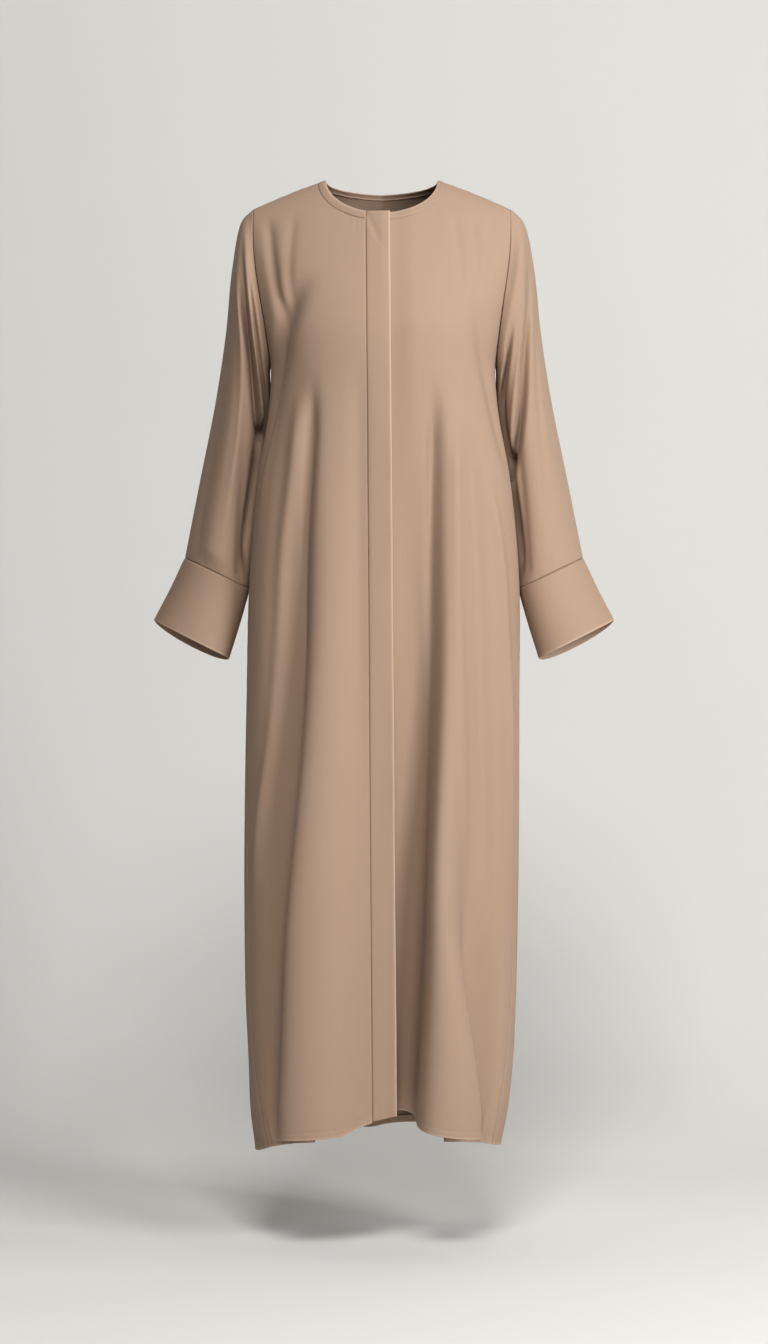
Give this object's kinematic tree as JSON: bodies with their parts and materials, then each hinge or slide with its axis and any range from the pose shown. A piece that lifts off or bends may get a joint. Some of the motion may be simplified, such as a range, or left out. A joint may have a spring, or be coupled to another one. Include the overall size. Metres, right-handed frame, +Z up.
{
  "type": "abaya cloak",
  "caption": "Full-length loose cloak with long wide sleeves, deep flared cuffs, a round bound neck and a hidden front closing, in its worn form with nobody in it.",
  "frame": {"origin": "midway between the high points of the shoulders, at the level where the neck opening's sides meet the shoulder seams, where the wearer's shoulders carry the cloak", "axes": "+Z up along the wearer's height, -Y out of the front, +X towards the wearer's left"},
  "size_m": [0.6584, 0.327, 1.3724],
  "materials": {
    "cloth": "smooth matt crepe in a warm taupe, with a very faint sheen",
    "double_cloth": "the same taupe crepe in two layers, pressed and edge-stitched"
  },
  "bodies": {
    "root": {"front_right": "cloth", "front_left": "cloth", "back": "cloth", "sleeve_right": "cloth", "sleeve_left": "cloth", "cuff_right": "double_cloth", "cuff_left": "double_cloth", "placket": "double_cloth", "neck_binding": "double_cloth"}
  },
  "joints": []
}
